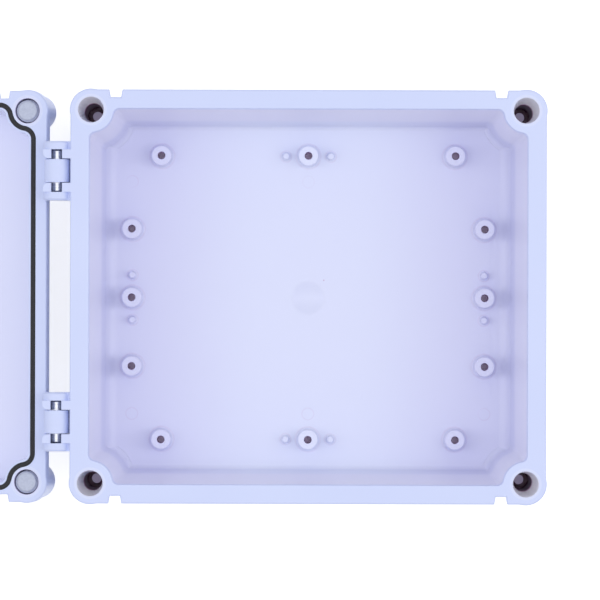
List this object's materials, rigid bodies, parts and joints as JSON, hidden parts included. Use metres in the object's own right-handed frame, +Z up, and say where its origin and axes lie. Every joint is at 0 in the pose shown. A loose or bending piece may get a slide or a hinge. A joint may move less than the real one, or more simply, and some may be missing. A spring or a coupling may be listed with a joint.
{
  "type": "hinged plastic wall enclosure",
  "caption": "Moulded plastic wall enclosure: deep open base with standoffs, corner screw wells and rim, and a lid on pin hinges, laid open.",
  "frame": {"origin": "centre of the base's flat underside", "axes": "+Z up out of the open mouth, +X along the long side away from the hinge, +Y along the short side"},
  "size_m": [0.4463, 0.191, 0.0753],
  "materials": {
    "housing": "glossy moulded, pale cool grey",
    "seal": "soft matt foam rubber",
    "pin": "drawn stainless rod",
    "screw": "satin polyamide"
  },
  "bodies": {
    "base": {"base": "housing"},
    "lid": {"lid": "housing", "gasket": "seal", "hinge_pin_lower": "pin", "hinge_pin_upper": "pin"},
    "lid_screw_1": {"lid_screw_1": "screw"},
    "lid_screw_2": {"lid_screw_2": "screw"},
    "lid_screw_3": {"lid_screw_3": "screw"},
    "lid_screw_4": {"lid_screw_4": "screw"}
  },
  "joints": [
    {"name": "lid_hinge", "type": "hinge", "parent": "base", "child": "lid", "pos_m": [-0.1157, 0, 0.069], "axis": [0, 1, 0], "range_deg": [0, 189.82]},
    {"name": "lid_screw_1_travel", "type": "slide", "parent": "lid", "child": "lid_screw_1", "axis": [-0.1705, 0, 0.9854], "range_m": [0, 0.008]},
    {"name": "lid_screw_2_travel", "type": "slide", "parent": "lid", "child": "lid_screw_2", "axis": [-0.1705, 0, 0.9854], "range_m": [0, 0.008]},
    {"name": "lid_screw_3_travel", "type": "slide", "parent": "lid", "child": "lid_screw_3", "axis": [-0.1705, 0, 0.9854], "range_m": [0, 0.008]},
    {"name": "lid_screw_4_travel", "type": "slide", "parent": "lid", "child": "lid_screw_4", "axis": [-0.1705, 0, 0.9854], "range_m": [0, 0.008]}
  ]
}
